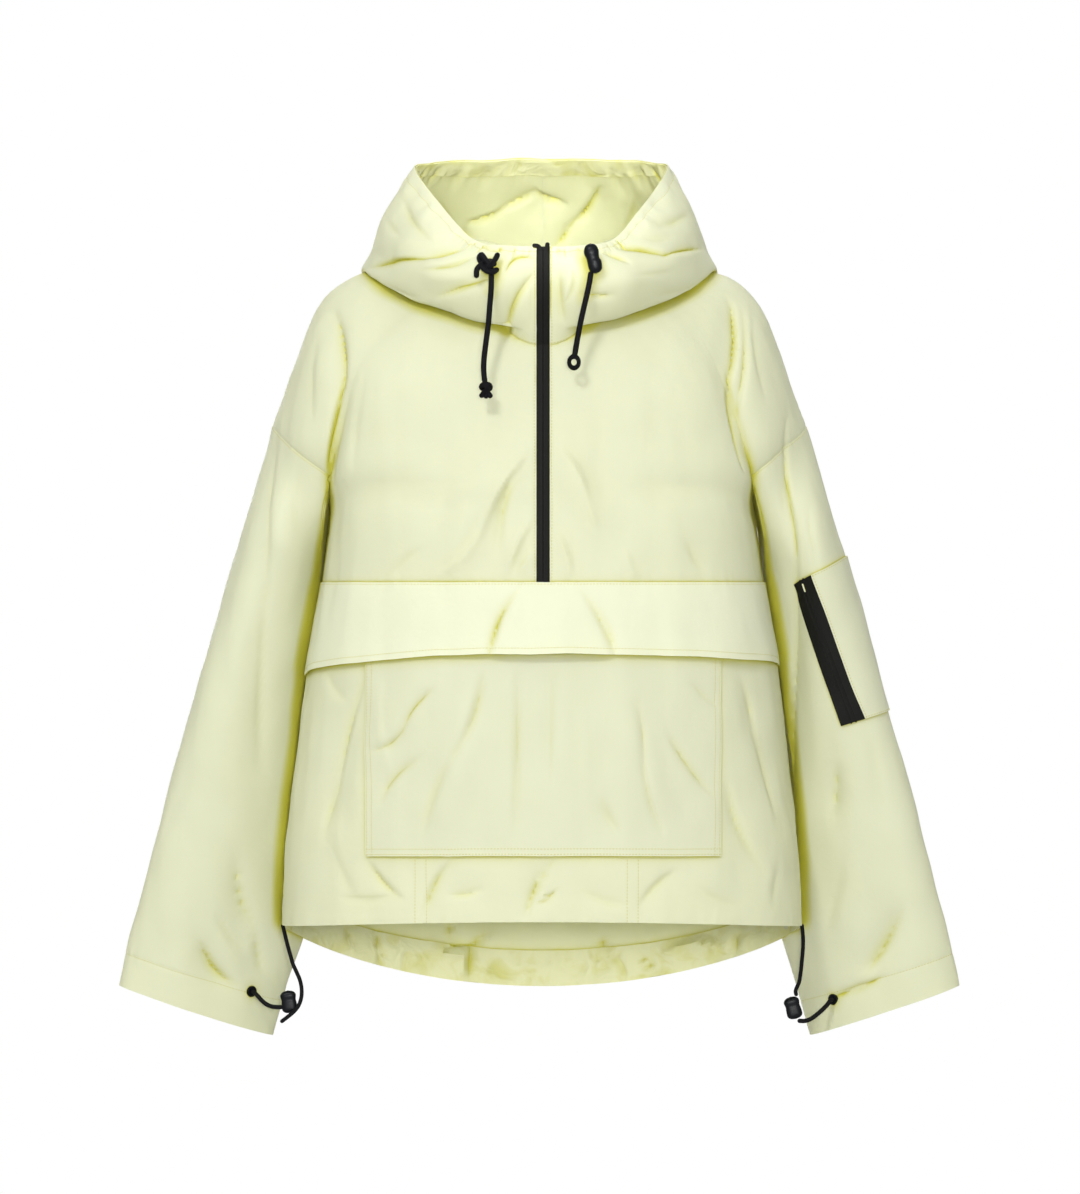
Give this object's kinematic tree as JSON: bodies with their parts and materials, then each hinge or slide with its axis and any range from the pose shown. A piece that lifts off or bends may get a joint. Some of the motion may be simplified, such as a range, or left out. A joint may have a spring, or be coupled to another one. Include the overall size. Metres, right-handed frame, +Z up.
{
  "type": "anorak pullover",
  "caption": "Hooded pullover anorak with a half zip, a chest flap over a wide front pocket, a zipped sleeve pocket and drawcords, in its hollow worn form.",
  "frame": {"origin": "middle between the shoulders, at the height of the shoulder's top by the side of the neck, where a wearer's shoulders carry the garment", "axes": "+X to the wearer's left, -Y the front, +Z up"},
  "size_m": [0.8434, 0.3396, 0.8861],
  "materials": {
    "shell_cloth": "pale lemon woven shell, semi-matte",
    "zip": "black coated zip tape and teeth",
    "cord": "black braided cord",
    "trim": "black moulded plastic and lacquered metal"
  },
  "bodies": {
    "root": {"front_upper_right": "shell_cloth", "front_upper_left": "shell_cloth", "front_lower": "shell_cloth", "back": "shell_cloth", "sleeve_right": "shell_cloth", "sleeve_left": "shell_cloth", "hood_right": "shell_cloth", "hood_left": "shell_cloth", "hood_casing": "shell_cloth", "back_hem_casing": "shell_cloth", "chest_flap": "shell_cloth", "front_pocket": "shell_cloth", "sleeve_pocket": "shell_cloth", "sleeve_zip": "zip", "front_zip": "zip", "hood_eyelet_right": "trim", "hood_eyelet_left": "trim", "hood_knot_right": "cord", "hood_cord_right": "cord", "hood_cord_end_right": "cord", "hood_lock_left": "trim", "hood_cord_left": "cord", "hood_cord_ring_left": "cord", "cuff_eyelet_right": "trim", "cuff_eyelet_left": "trim", "stopper_right": "trim", "stopper_left": "trim", "cuff_cord_right": "cord", "cuff_cord_left": "cord", "hem_cord_right": "cord", "hem_cord_left": "cord"}
  },
  "joints": []
}
